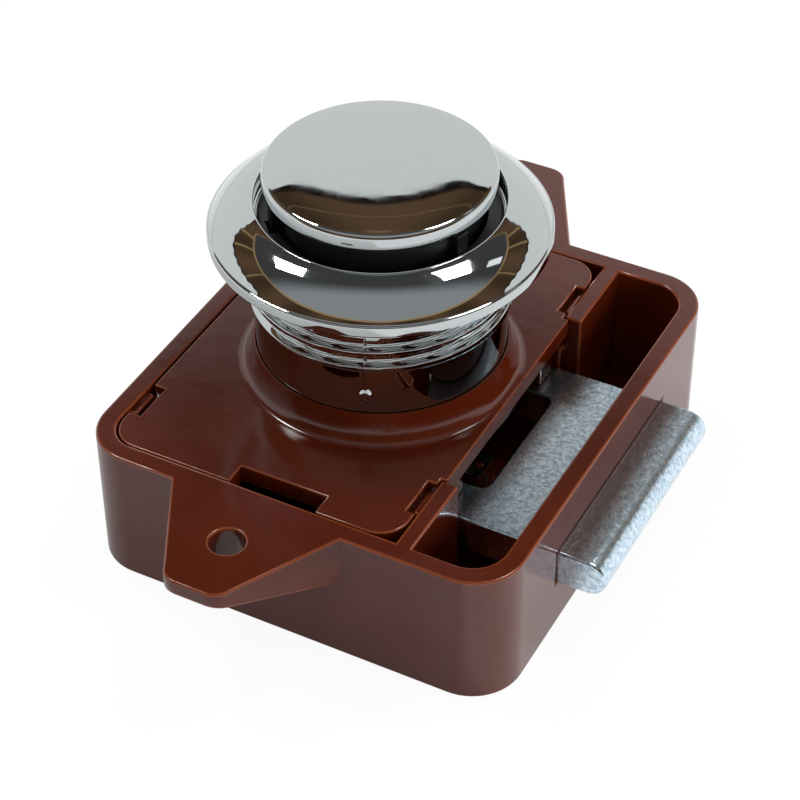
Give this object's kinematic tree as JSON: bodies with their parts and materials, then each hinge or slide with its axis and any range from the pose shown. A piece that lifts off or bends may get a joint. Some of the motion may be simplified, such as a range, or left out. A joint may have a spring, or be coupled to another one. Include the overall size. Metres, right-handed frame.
{
  "type": "push button cabinet lock",
  "caption": "Moulded cabinet lock with a push-push chrome button, a threaded collar with a clamping rosette, screw ears and a spring bolt.",
  "frame": {"origin": "on the button's axis at the case's back face", "axes": "+Z along the button's axis from the case to the button, +X the way the bolt comes out, Y along the two screw ears"},
  "size_m": [0.0484, 0.0712, 0.037],
  "materials": {
    "brown_abs": "glossy moulded brown plastic",
    "chrome_plate": "bright chrome plate",
    "zinc_plate": "bright zinc plate with a fine grain",
    "black_pom": "black moulded plastic",
    "spring_steel": "drawn spring steel"
  },
  "bodies": {
    "case": {"lock_case": "brown_abs", "case_lid": "brown_abs", "collar": "chrome_plate", "guide_sleeve": "black_pom", "follower_leaf": "spring_steel", "button_spring": "spring_steel", "bolt_spring_front": "spring_steel", "bolt_spring_rear": "spring_steel"},
    "rosette": {"rosette": "chrome_plate"},
    "button": {"button_cap": "chrome_plate", "button_stem": "black_pom"},
    "bolt": {"bolt": "zinc_plate"},
    "follower": {"cam_follower": "spring_steel"}
  },
  "joints": [
    {"name": "button_slide", "type": "slide", "parent": "case", "child": "button", "axis": [0, 0, 1], "range_m": [-0.0012, 0.006], "stiffness_N_per_m": 400, "deforming": ["button_spring"]},
    {"name": "bolt_slide", "type": "slide", "parent": "case", "child": "bolt", "axis": [1, 0, 0], "range_m": [-0.005, 0.001], "deforming": ["bolt_spring_front", "bolt_spring_rear"]},
    {"name": "follower_swing", "type": "hinge", "parent": "case", "child": "follower", "pos_m": [0.0084, 0, 0.0029], "axis": [1, 0, 0], "range_deg": [-10, 3]},
    {"name": "rosette_travel", "type": "slide", "parent": "case", "child": "rosette", "axis": [0, 0, 1], "range_m": [0, 0.015]}
  ],
  "couplings": [
    {"joint": "bolt_slide", "follows": "button_slide", "ratio": -0.81667},
    {"joint": "follower_swing", "follows": "button_slide", "rad_per_m": -27.9}
  ]
}
